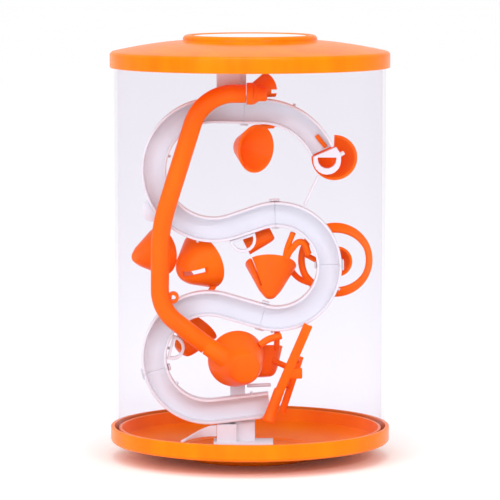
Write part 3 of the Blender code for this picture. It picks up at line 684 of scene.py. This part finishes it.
def channel_legs():
    """The channel's middle line as legs of (length, start point, heading, bend or None)."""
    legs, enter = [], CHANNEL_START
    for i, bend in enumerate(BENDS):
        x, z, radius, turn = bend
        last = i == len(BENDS) - 1
        leave = 270 + CHANNEL_END_SLOPE if last else leaving_angle(bend, BENDS[i + 1])
        leave = enter + turn * ((turn * (leave - enter)) % 360)
        start = on_circle(x, z, radius, enter)
        legs.append((radians(abs(leave - enter)) * radius, start, enter + 90 * turn, (x, z, radius, turn)))
        end = on_circle(x, z, radius, leave)
        if last:
            reach = (CHANNEL_END_X - end.x) / cos(radians(CHANNEL_END_SLOPE))
            legs.append((reach, end, leave + 90 * turn, None))
            break
        enter = leave if BENDS[i + 1][3] == turn else leave + 180
        following = on_circle(*BENDS[i + 1][:3], enter)
        if (following - end).length > 0.01:
            legs.append(((following - end).length, end, leave + 90 * turn, None))
    return legs


def along(legs, distance):
    """The point and heading, in degrees, at a distance along the channel."""
    for reach, start, heading, bend in legs:
        if distance <= reach + 1e-6:
            break
        distance -= reach
    if bend is None:
        return start + Vector((cos(radians(heading)), sin(radians(heading)))) * distance, heading
    x, z, radius, turn = bend
    angle = heading - 90 * turn + turn * degrees(distance / radius)
    return on_circle(x, z, radius, angle), angle + 90 * turn


def nearest(legs, point):
    """The distance along the channel closest to a point."""
    whole = sum(leg[0] for leg in legs)
    tries = [whole * i / 3000 for i in range(3001)]
    return min(tries, key=lambda at: (along(legs, at)[0] - Vector(point)).length)


def stretch(legs, start, end):
    """The sweep's legs for the part of the channel between two distances."""
    found, passed = [], 0.0
    for reach, _, heading, bend in legs:
        low, high = max(start, passed), min(end, passed + reach)
        passed += reach
        if high - low < 1e-4:
            continue
        if bend is None:
            ahead = mm((cos(radians(heading)), 0, sin(radians(heading)))) * (high - low)
            found.append(("run", ahead))
        else:
            x, z, radius, turn = bend
            steps = max(2, round((high - low) / 1.8))
            found.append(("bend", mm((x, 0, z)), TURN_AXIS, turn * (high - low) / radius, steps))
    return found


def section_at(legs, distance, section, back=CHANNEL_BACK):
    """A section of (across, towards the viewer) points, stood across the channel at a distance."""
    middle, heading = along(legs, distance)
    side = Vector((-sin(radians(heading)), cos(radians(heading))))
    return [mm((middle.x + side.x * a, back - f, middle.y + side.y * a)) for a, f in section]


def channel_section():
    half, tall = sizes().channel_half * 1000, CHANNEL_BACK - CHANNEL_FRONT
    inner = half - CHANNEL_WALL
    right = [(half - 0.5, 0), (half, 0.5), (half, tall - 0.35), (half - 0.35, tall), (inner + 0.3, tall)]
    right += [(inner, tall - 0.3), (inner, CHANNEL_FLOOR + 0.9), (inner - 0.25, CHANNEL_FLOOR + 0.25)]
    right += [(inner - 0.9, CHANNEL_FLOOR)]
    return right + [(-a, f) for a, f in reversed(right)]


def lug(legs, distance, side):
    """A small locating peg on the outside of the channel's wall."""
    middle, heading = along(legs, distance)
    out = Vector((-sin(radians(heading)), cos(radians(heading)))) * side
    near, far = middle + out * 6.9, middle + out * 9.0
    return bar("lug", [(near.x, -1.2, near.y), (far.x, -1.2, far.y)], 0.85, False, 3)


class MAZE_OT_channel(bpy.types.Operator):
    """Sweep the six lengths of the channel, with their pegs and the straps behind the joints"""

    bl_idname = "maze.channel"
    bl_label = "Channel"

    def execute(self, context):
        legs = channel_legs()
        whole = sum(leg[0] for leg in legs)
        joints = [nearest(legs, joint) for joint in JOINTS_AT]
        ends = [0.0, *joints, whole]
        pegs = [(nearest(legs, point), side) for point, side in LUGS]
        names = ("upper_right", "upper_left", "middle", "right", "lower_left", "bottom")
        for name, low, high in zip(names, ends, ends[1:]):
            low, high = low + SEAM / 2, high - SEAM / 2
            obj = swept(f"track_{name}", section_at(legs, low, channel_section()), stretch(legs, low, high))
            soften(obj, mm(0.22), 2, 50)
            joined(obj, *[lug(legs, at, side) for at, side in pegs if low < at < high])
            white(obj, f"channel_{name}")
        half = sizes().channel_half * 1000 + GAP
        strap = [(half + 1.1, -1.7), (half + 1.1, 4.4), (half, 4.4), (half, -GAP)]
        strap += [(-a, f) for a, f in reversed(strap)]
        for i, at in enumerate(joints):
            low, high = at - STRAP_HALF_LENGTH, at + STRAP_HALF_LENGTH
            obj = swept(f"strap_{i + 1}", section_at(legs, low, strap), stretch(legs, low, high))
            white(soften(obj, mm(0.3), 3), f"channel_clip_{i + 1}")
        return {"FINISHED"}


# ---- Posts and gates ---------------------------------------------------------------------------
class MAZE_OT_posts(bpy.types.Operator):
    """Round off the posts that carry the channel, the curved wall on the base, the flap and the rib"""

    bl_idname = "maze.posts"
    bl_label = "Posts"

    def execute(self, context):
        pieces = (("top_post", "post_top"), ("bottom_post", "post_bottom"), ("base_fin", "fin"),
                  ("side_flap", "flap"), ("bottom_rib", "rib"))
        for node, name in pieces:
            white(refined(node, name, 0.35), node)
        return {"FINISHED"}


class MAZE_OT_gates(bpy.types.Operator):
    """Round off the half-round gates, the strut and the orange release tab"""

    bl_idname = "maze.gates"
    bl_label = "Gates"

    def execute(self, context):
        for node in ("gate_upper", "gate_middle", "gate_lower", "strut"):
            white(refined(node, f"{node}_frame", 0.3), node)
        orange(refined("release_tab", "tab", 0.25), "release_tab")
        return {"FINISHED"}


# ---- Cups --------------------------------------------------------------------------------------
def cone_cup(name, tip, mouth, tip_radius, mouth_radius, wall=None, steps=72, blunt=0.82):
    """A thin cone from a closed tip to an open mouth; blunt is the flat share of the tip's radius."""
    wall = wall or sizes().cup_wall * 1000
    deep = (Vector(mouth) - Vector(tip)).length
    rise = mouth_radius - tip_radius
    lean = hypot(rise, deep) / deep
    outer = [(0, 0, 0), (tip_radius * blunt, 0, tip_radius * (1 - blunt) * 1.9)]
    outer += [(tip_radius + rise * 0.09, 1.6, 1.2)]
    outer += [(tip_radius + rise * (0.2 + 0.8 * t), deep * (0.12 + 0.88 * t), 0) for t in (0.15, 0.4, 0.7)]
    lip = [(mouth_radius, deep, 0.45), (mouth_radius - wall * lean, deep, 0.45)]
    floor = min(deep * 0.4, wall)
    inner = [(max(0.6, tip_radius * 0.82 - wall * 0.6), floor, 0.5), (0, floor, 0)]
    obj = turned(name, outer + lip + inner, steps)
    return moved(obj, tip, mouth)


def slotted(obj, tip, mouth, toward, start, end, width=2.2, reach=24.0):
    """Cuts a slot down the side of a cup that faces a direction, between two lengths from its tip."""
    cutter = block("cutter", (0.5, -width / 2, start), (reach, width / 2, end))
    axis = (Vector(mouth) - Vector(tip)).normalized()
    side = (Vector(toward) - axis * axis.dot(Vector(toward))).normalized()
    turn = Matrix((side, axis.cross(side), axis)).transposed().to_quaternion()
    return cutting(obj, moved(cutter, tip, turn=turn))


def arm(foot, elbow, end, radius=2.0):
    """A foot behind the channel and an arm from its elbow to a cup's wall."""
    x, z = foot
    base = CHANNEL_BACK + GAP
    stub = bar("foot", [(x, base, z), (x, elbow[1] + 1.0, z)], radius + 0.6, False)
    return stub, bar("arm", [elbow, end], radius, False)


def finished_cup(obj, node, *extras):
    soften(obj, mm(0.25), 2, 50)
    return orange(joined(obj, *extras) if extras else obj, node)


class MAZE_OT_cups(bpy.types.Operator):
    """Turn the cone cups, cut their slots and join their arms"""

    bl_idname = "maze.cups"
    bl_label = "Cups"

    def execute(self, context):
        cup = cone_cup("catch_upper_right", (51.8, 21, 177.4), (50.8, 6, 180.9), 4.0, 14.0)
        cutting(cup, block("notch", (30, 2, 187.0), (50.8, 20, 200)))
        finished_cup(cup, "cup_upper_right", *arm((39.5, 193), (39.5, 9.5, 193), (40.6, 9.5, 184.2)))

        tip, mouth = (-8.0, 14, 187.5), (3.8, 1.5, 186.5)
        cup = cone_cup("catch_upper_centre", tip, mouth, 3.2, 14.8)
        slotted(cup, tip, mouth, (-0.45, -0.5, -0.74), 2.5, 30)
        link = bar("link", [(6.6, 5.5, 199.5), (14.4, 7.6, 199.8)], 1.5, False)
        extras = arm((14, 206), (14, 7.6, 206.5), (14, 7.6, 199.4), 1.5)
        finished_cup(cup, "cup_upper_centre", link, *extras)

        cup = cone_cup("catch_left", (-70.3, 8, 120.0), (-54.2, 23, 122.4), 2.6, 14.8)
        finished_cup(cup, "cup_left", *arm((-45.5, 149), (-45.5, 12, 149), (-54.8, 22.4, 135.8), 1.8))

        tip, mouth = (-41.3, 3.2, 111.0), (-28.2, 15.4, 117.4)
        cup = cone_cup("catch_centre_left", tip, mouth, 5.4, 17.8)
        slotted(cup, tip, mouth, (0.3, -0.95, -0.25), -2, 10.5, 3.6)
        finished_cup(cup, "cup_centre_left", *arm((-27, 94), (-27, 12, 94), (-21.6, 14.7, 102.8), 1.8))

        tip, mouth = (12.0, 1, 96.3), (12.6, 12.0, 115.4)
        cup = cone_cup("catch_centre_right", tip, mouth, 2.8, 15.6)
        slotted(cup, tip, mouth, (-0.74, -0.67, 0), 6, 30, 2.2)
        fork = bar("fork", [(21.0, 1.8, 119.8), (22.2, 0.4, 126.0), (26.0, -1.0, 136.2)], 1.7)
        bend = [(21.6, 1.8, 119.8), (25.0, -0.5, 126.0), (31.0, -1.0, 130.4), (35.4, 0, 122.8)]
        finished_cup(cup, "cup_centre_right", fork, bar("hook", bend, 2.0))

        cup = cone_cup("catch_rear_left", (-42.0, 14, 62.0), (-29.8, 22, 77.0), 5.5, 12.0)
        extras = arm((-33.5, 92.3), (-33.5, 12, 92.3), (-36.6, 17.0, 84.2), 1.8)
        finished_cup(cup, "cup_rear_left", *extras)

        cup = cone_cup("catch_rear_right", (8.0, 16, 46.5), (7.0, 20, 64.0), 7.0, 13.0)
        bracket = bar("bracket", [(14.0, 11.0, 57.0), (22.5, 8.0, 53.6)], 1.8, False)
        extras = arm((16.5, 84.2), (16.5, 12, 84.2), (16.2, 11, 63.4), 1.8)
        finished_cup(cup, "cup_rear_right", bracket, *extras)

        cup = cone_cup("scoop", (13.5, 10, 134.8), (-2.5, 9.5, 127.0), 4.2, 5.8)
        finished_cup(cup, "scoop_middle", *arm((7, 143.5), (7, 10, 143.5), (7, 10, 135.6), 1.6))
        return {"FINISHED"}


class MAZE_OT_loop(bpy.types.Operator):
    """Bend the ring rail round its small cup"""

    bl_idname = "maze.loop"
    bl_label = "Loop Rail"

    def execute(self, context):
        hub = cone_cup("loop", (52.7, 24, 117.3), (52.7, 12, 117.3), 3.0, 9.4)
        object_mode()
        bpy.ops.object.select_all(action="DESELECT")
        bpy.ops.mesh.primitive_torus_add(
            major_radius=mm(20.5), minor_radius=mm(2.1), major_segments=96, minor_segments=20,
            location=mm((51.7, 14.0, 118.2)), rotation=(pi / 2, 0, 0),
        )
        ring = bpy.context.object
        bpy.ops.object.mode_set(mode="EDIT")
        pick(ring, lambda co: co.z > 0.0012)
        bpy.ops.transform.resize(value=(1.0, 1.0, 0.88))
        bpy.ops.object.mode_set(mode="OBJECT")
        bpy.ops.object.transform_apply(location=True, rotation=True, scale=True)
        bpy.ops.object.shade_smooth()
        spoke = bar("spoke", [(31.8, 14, 122.4), (44.6, 14, 115.4)], 1.6, False)
        tail = [(25.0, 22.5, 111.0), (28.8, 19.5, 107.0), (33.4, 16.0, 104.8), (38.4, 14, 103.6)]
        stay = arm((44.7, 129.1), (44.7, 14, 129.1), (48.8, 14, 125.0), 1.8)
        extras = (ring, spoke, bar("tail", tail, 1.8), *stay)
        finished_cup(hub, "loop_rail", *extras)
        return {"FINISHED"}


# ---- The pipe, its intake and the funnel -------------------------------------------------------
PIPE_Y = -14.0
PIPE_CORNERS = ((-2.4, 220.4), (-28.5, 220.4), (-53.7, 140.0), (-54.0, 91.2), (-25.8, 69.2))
PIPE_ROUNDING = (26.0, 90.0, 24.0)


def pipe_legs():
    """The pipe's straight and round legs in the plane of its middle line."""
    legs, here = [], Vector(PIPE_CORNERS[0])
    for corner, after, radius in zip(PIPE_CORNERS[1:], PIPE_CORNERS[2:], PIPE_ROUNDING):
        into = (Vector(corner) - here).normalized()
        away = (Vector(after) - Vector(corner)).normalized()
        turn = atan2(into.x * away.y - into.y * away.x, into.dot(away))
        side = Vector((-into.y, into.x)) * (1 if turn > 0 else -1)
        start = Vector(corner) - into * radius * tan(abs(turn) / 2)
        centre = start + side * radius
        ahead = start - here
        legs.append(("run", mm((ahead.x, 0, ahead.y))))
        steps = round(abs(turn) * radius / 1.5)
        legs.append(("bend", mm((centre.x, PIPE_Y, centre.y)), TURN_AXIS, turn, steps))
        here = Vector(corner) + away * radius * tan(abs(turn) / 2)
    ahead = Vector(PIPE_CORNERS[-1]) - here
    return legs + [("run", mm((ahead.x, 0, ahead.y)))]


class MAZE_OT_pipe(bpy.types.Operator):
    """Sweep the bent pipe and make its eye, collar and intake scoop"""

    bl_idname = "maze.pipe"
    bl_label = "Pipe"

    def execute(self, context):
        radius = sizes().pipe_radius
        x, z = PIPE_CORNERS[0]
        start = mm((x, PIPE_Y, z))
        section = [start + Vector((0, cos(a), sin(a))) * radius for a in (2 * pi * i / 40 for i in range(40))]
        pipe = swept("bent_pipe", section, pipe_legs())
        only(pipe)
        bpy.ops.object.mode_set(mode="EDIT")
        bpy.ops.mesh.select_mode(type="FACE")
        bpy.ops.mesh.select_all(action="DESELECT")
        mesh = bmesh.from_edit_mesh(pipe.data)
        for face in mesh.faces:
            face.select = len(face.verts) > 4
        bmesh.update_edit_mesh(pipe.data)
        bpy.ops.mesh.delete(type="ONLY_FACE")
        bpy.ops.mesh.select_mode(type="VERT")
        bpy.ops.object.mode_set(mode="OBJECT")
        modify(pipe, "SOLIDIFY", thickness=mm(1.1), offset=-1, use_even_offset=True)
        soften(pipe, mm(0.3), 2, 50)
        eye = bar("eye", [(-46.1, -13.5, 98.0), (-46.1, CHANNEL_FRONT - GAP, 98.0)], 3.4, False, 8)
        cutting(eye, bar("hole", [(-46.1, -18, 98.0), (-46.1, -4, 98.0)], 1.6, False, 6))
        only(eye)
        bpy.ops.object.shade_smooth_by_angle(angle=radians(44))
        web = bar("web", [(-50.4, -12.6, 99.0), (-47.6, -10.8, 98.4)], 1.5, False)
        orange(joined(pipe, eye, web), "pipe")

        profile = [(4.4, 4.2, 0.3), (6.2, 4.2, 0), (6.6, 3.6, 0.5)]
        profile += [(6.6, 0.4, 0.5), (6.2, 0, 0.3), (4.4, 0, 0.2)]
        collar = drawn("collar", [mm((r, 0, z)) for r, z, _ in profile], closed=True)
        bpy.ops.mesh.select_all(action="SELECT")
        bpy.ops.mesh.spin(steps=56, angle=2 * pi, center=(0, 0, 0), axis=(0, 0, 1))
        soften(tidy(collar), mm(0.35), 3, 40)
        moved(collar, (-2.1, PIPE_Y, 220.4), (3, PIPE_Y, 220.4))
        spout = [(0, 0.2, 0), (6.2, 0.2, 0.4), (6.2, 1.0, 0.6), (4.9, 2.4, 1.0)]
        spout += [(4.5, 3.4, 0.8), (4.4, 7.6, 0.6)]
        spout += [(3.6, 8.2, 0.5), (0, 8.2, 0)]
        spout = moved(turned("spout", spout, 48), (2.0, PIPE_Y, 220.3), (9, PIPE_Y, 220.3))
        only(spout)
        bpy.ops.object.shade_smooth_by_angle(angle=radians(40))
        orange(joined(collar, spout), "pipe_collar")

        scoop = cone_cup("intake", (1.2, -2.3, 220.6), (11.2, 5.2, 224.0), 4.0, 8.2)
        cutting(scoop, block("seat", (-12, -20, 200), (30, 20, 217.6)))
        cutting(scoop, block("slit", (12.8, -20, 219.8), (30, 20, 222.2)))
        finished_cup(scoop, "intake_scoop")
        return {"FINISHED"}


class MAZE_OT_funnel(bpy.types.Operator):
    """Turn the big cup at the pipe's foot and flare the pipe into it"""

    bl_idname = "maze.funnel"
    bl_label = "Funnel"

    def execute(self, context):
        tip, mouth = (-2.9, -25.5, 56.6), (-8.4, -2.5, 60.0)
        cup = cone_cup("funnel", tip, mouth, 8.9, 17.6, steps=96, blunt=0.96)
        x, z = PIPE_CORNERS[-1]
        slope = (Vector(PIPE_CORNERS[-1]) - Vector(PIPE_CORNERS[-2])).normalized()
        start = (x + slope.x * GAP, PIPE_Y, z + slope.y * GAP)
        end = (-6.5, -18.0, 57.5)
        reach = (Vector(end) - Vector(start)).length
        profile = [(4.4, 0, 0.2), (5.5, 0, 0.3), (5.6, 3, 1.0)]
        profile += [(5.6 + 1.9 * t, 3 + (reach - 4) * t, 0) for t in (0.25, 0.5, 0.75)]
        profile += [(7.5, reach - 1, 1.2), (6.0, reach + 0.6, 1.4), (0, reach + 0.9, 0)]
        flare = moved(turned("flare", profile, 64), start, end)
        only(flare)
        bpy.ops.object.shade_smooth_by_angle(angle=radians(50))
        nozzle = bar("nozzle", [(5.6, -7.5, 68.6), (11.0, -6.0, 72.0), (18.6, -3.5, 73.9)], 2.1)
        finished_cup(cup, "funnel_cup", flare, nozzle)
        return {"FINISHED"}


class MAZE_OT_chute(bpy.types.Operator):
    """Draw the two-rail chute, its rungs, its peg and the sleeve at its foot"""

    bl_idname = "maze.chute"
    bl_label = "Chute"

    def execute(self, context):
        front, back = -10.7, 7.0
        top, knee, foot = (35.0, front, 81.6), (17.4, front, 40.6), (10.8, front, 23.2)
        down = (Vector(knee) - Vector(top)).normalized()
        side = Vector((-down.z, 0, down.x))
        trough = [(-2.7, -2.5), (2.7, -2.5), (2.7, 2.5), (1.5, 2.5)]
        trough += [(1.5, -1.1), (-1.5, -1.1), (-1.5, 2.5), (-2.7, 2.5)]
        section = [mm(Vector(top) + side * a + Vector((0, b, 0))) for a, b in trough]
        rail = swept("slide", section, [("run", mm(Vector(knee) - Vector(top)))])
        soften(rail, mm(0.5), 3)
        sleeve = [(2.1, 0, 0.2), (3.0, 0, 0.3), (3.2, 0.8, 0.4), (3.2, 12, 0)]
        sleeve += [(3.5, 18.6, 0.3), (4.0, 19.2, 0.3)]
        sleeve += [(4.0, 20.4, 0.3), (2.7, 20.6, 0.3), (2.1, 8, 0)]
        sleeve = drawn("sleeve", [mm((r, 0, z)) for r, z, _ in sleeve], closed=True)
        bpy.ops.mesh.select_all(action="SELECT")
        bpy.ops.mesh.spin(steps=48, angle=2 * pi, center=(0, 0, 0), axis=(0, 0, 1))
        soften(tidy(sleeve), mm(0.25), 2, 40)
        moved(sleeve, (17.8, front, 42.4), foot)
        parts = [sleeve, bar("rail", [(30.5, back, 60.0), (19.4, back, 26.0)], 2.2, False)]
        for px, pz in ((27.8, 58.0), (21.6, 42.5)):
            parts.append(bar("rung", [(px - 0.4, front, pz + 6), (px + 1.4, back, pz - 1)], 1.5, False))
        parts.append(block("peg", (23.6, front - 2.0, 49.0), (31.4, front + 3.2, 55.2), 0.7))
        orange(joined(rail, *parts), "chute")
        return {"FINISHED"}


class MAZE_OT_ball(bpy.types.Operator):
    """Round the loose steel ball in the race"""

    bl_idname = "maze.ball"
    bl_label = "Ball"

    def execute(self, context):
        low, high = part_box("steel_ball")
        object_mode()
        bpy.ops.object.select_all(action="DESELECT")
        bpy.ops.mesh.primitive_cube_add(size=(high - low).x * 0.8, location=(low + high) / 2)
        ball = bpy.context.object
        ball.name = "ball"
        # Known fault: the location is applied before the cast, which then works about the world's
        # origin. The ball comes out as a tiny shard inside the lower cap, so no ball shows.
        bpy.ops.object.transform_apply(location=True, rotation=True, scale=True)
        modify(ball, "SUBSURF", levels=4, render_levels=4)
        modify(ball, "CAST", factor=1.0, size=(high - low).x / 2, radius=0, use_radius_as_size=False)
        only(ball)
        bpy.ops.object.shade_smooth()
        hold(ball, "ball steel", "steel_ball", body="ball", slot="steel")
        return {"FINISHED"}


# ---- Stage -------------------------------------------------------------------------------------
def lamp(name, place, target, size, power, tint=(1, 1, 1)):
    bpy.ops.object.light_add(type="AREA", location=place)
    obj = bpy.context.object
    obj.name = name
    obj.data.shape = "RECTANGLE"
    obj.data.size, obj.data.size_y = size
    obj.data.energy = power
    obj.data.color = tint
    obj.rotation_mode = "QUATERNION"
    obj.rotation_quaternion = (Vector(target) - Vector(place)).to_track_quat("-Z", "Y")
    return obj


class MAZE_OT_stage(bpy.types.Operator):
    """Lay the pale floor, hang the soft lights and set the camera"""

    bl_idname = "maze.stage"
    bl_label = "Stage"

    def execute(self, context):
        object_mode()
        bpy.ops.object.select_all(action="DESELECT")
        bpy.ops.mesh.primitive_circle_add(vertices=96, radius=40, fill_type="NGON")
        floor = context.object
        floor.name = "floor"
        floor.data.materials.append(material("floor"))
        centre = (0, 0, sizes().height / 2)
        lamp("key", (0.9, -1.6, 1.0), centre, (0.5, 0.1), 6)
        lamp("fill", (-1.2, -1.5, 0.7), centre, (0.1, 0.7), 2.5)
        lamp("top", (0, -0.2, 1.6), centre, (0.7, 0.12), 5)
        bpy.ops.object.light_add(type="SUN", rotation=(radians(56), 0, radians(-14)))
        sun = context.object
        sun.name = "sun"
        sun.data.energy, sun.data.angle = 1.35, radians(70)
        world = bpy.data.worlds.new("studio")
        world.use_nodes = True
        world.node_tree.nodes["Background"].inputs["Color"].default_value = (1, 1, 1, 1)
        world.node_tree.nodes["Background"].inputs["Strength"].default_value = 0.8
        context.scene.world = world
        bpy.ops.object.camera_add(location=(0, -2.138, 0.336))
        camera = context.object
        camera.name = "camera"
        camera.data.lens = 257
        camera.data.sensor_width = 36
        camera.data.clip_end = 100
        camera.rotation_mode = "QUATERNION"
        aim = Vector((0, 0, 0.1255)) - camera.location
        camera.rotation_quaternion = aim.to_track_quat("-Z", "Y")
        context.scene.camera = camera
        context.scene.view_settings.view_transform = "Standard"
        return {"FINISHED"}


# ---- Panel and registration --------------------------------------------------------------------
OPERATORS = (
    MAZE_OT_caps, MAZE_OT_discs, MAZE_OT_cylinder, MAZE_OT_channel, MAZE_OT_posts, MAZE_OT_gates,
    MAZE_OT_cups, MAZE_OT_loop, MAZE_OT_pipe, MAZE_OT_funnel, MAZE_OT_chute, MAZE_OT_ball, MAZE_OT_stage,
)


class MAZE_PT_panel(bpy.types.Panel):
    """The maze's settings and the operators that build it"""

    bl_idname = "MAZE_PT_panel"
    bl_label = "Ball Maze"
    bl_space_type = "VIEW_3D"
    bl_region_type = "UI"
    bl_category = "Ball Maze"

    def draw(self, context):
        for title, group in (("Sizes", context.scene.maze_sizes), ("Finishes", context.scene.maze_finishes)):
            box = self.layout.box()
            box.label(text=title)
            for name in group.__annotations__:
                box.prop(group, name)
        for operator in OPERATORS:
            self.layout.operator(operator.bl_idname)


CLASSES = (MazeSizes, MazeFinishes, *OPERATORS, MAZE_PT_panel)


def register():
    for cls in CLASSES:
        bpy.utils.register_class(cls)
    bpy.types.Scene.maze_sizes = bpy.props.PointerProperty(type=MazeSizes)
    bpy.types.Scene.maze_finishes = bpy.props.PointerProperty(type=MazeFinishes)


def unregister():
    del bpy.types.Scene.maze_finishes
    del bpy.types.Scene.maze_sizes
    for cls in reversed(CLASSES):
        bpy.utils.unregister_class(cls)


def main():
    register()
    for build in (
        bpy.ops.maze.stage, bpy.ops.maze.caps, bpy.ops.maze.discs, bpy.ops.maze.cylinder,
        bpy.ops.maze.channel, bpy.ops.maze.posts, bpy.ops.maze.gates, bpy.ops.maze.cups,
        bpy.ops.maze.loop, bpy.ops.maze.pipe, bpy.ops.maze.funnel, bpy.ops.maze.chute, bpy.ops.maze.ball,
    ):
        build()
    object_mode()


if __name__ == "__main__":
    main()
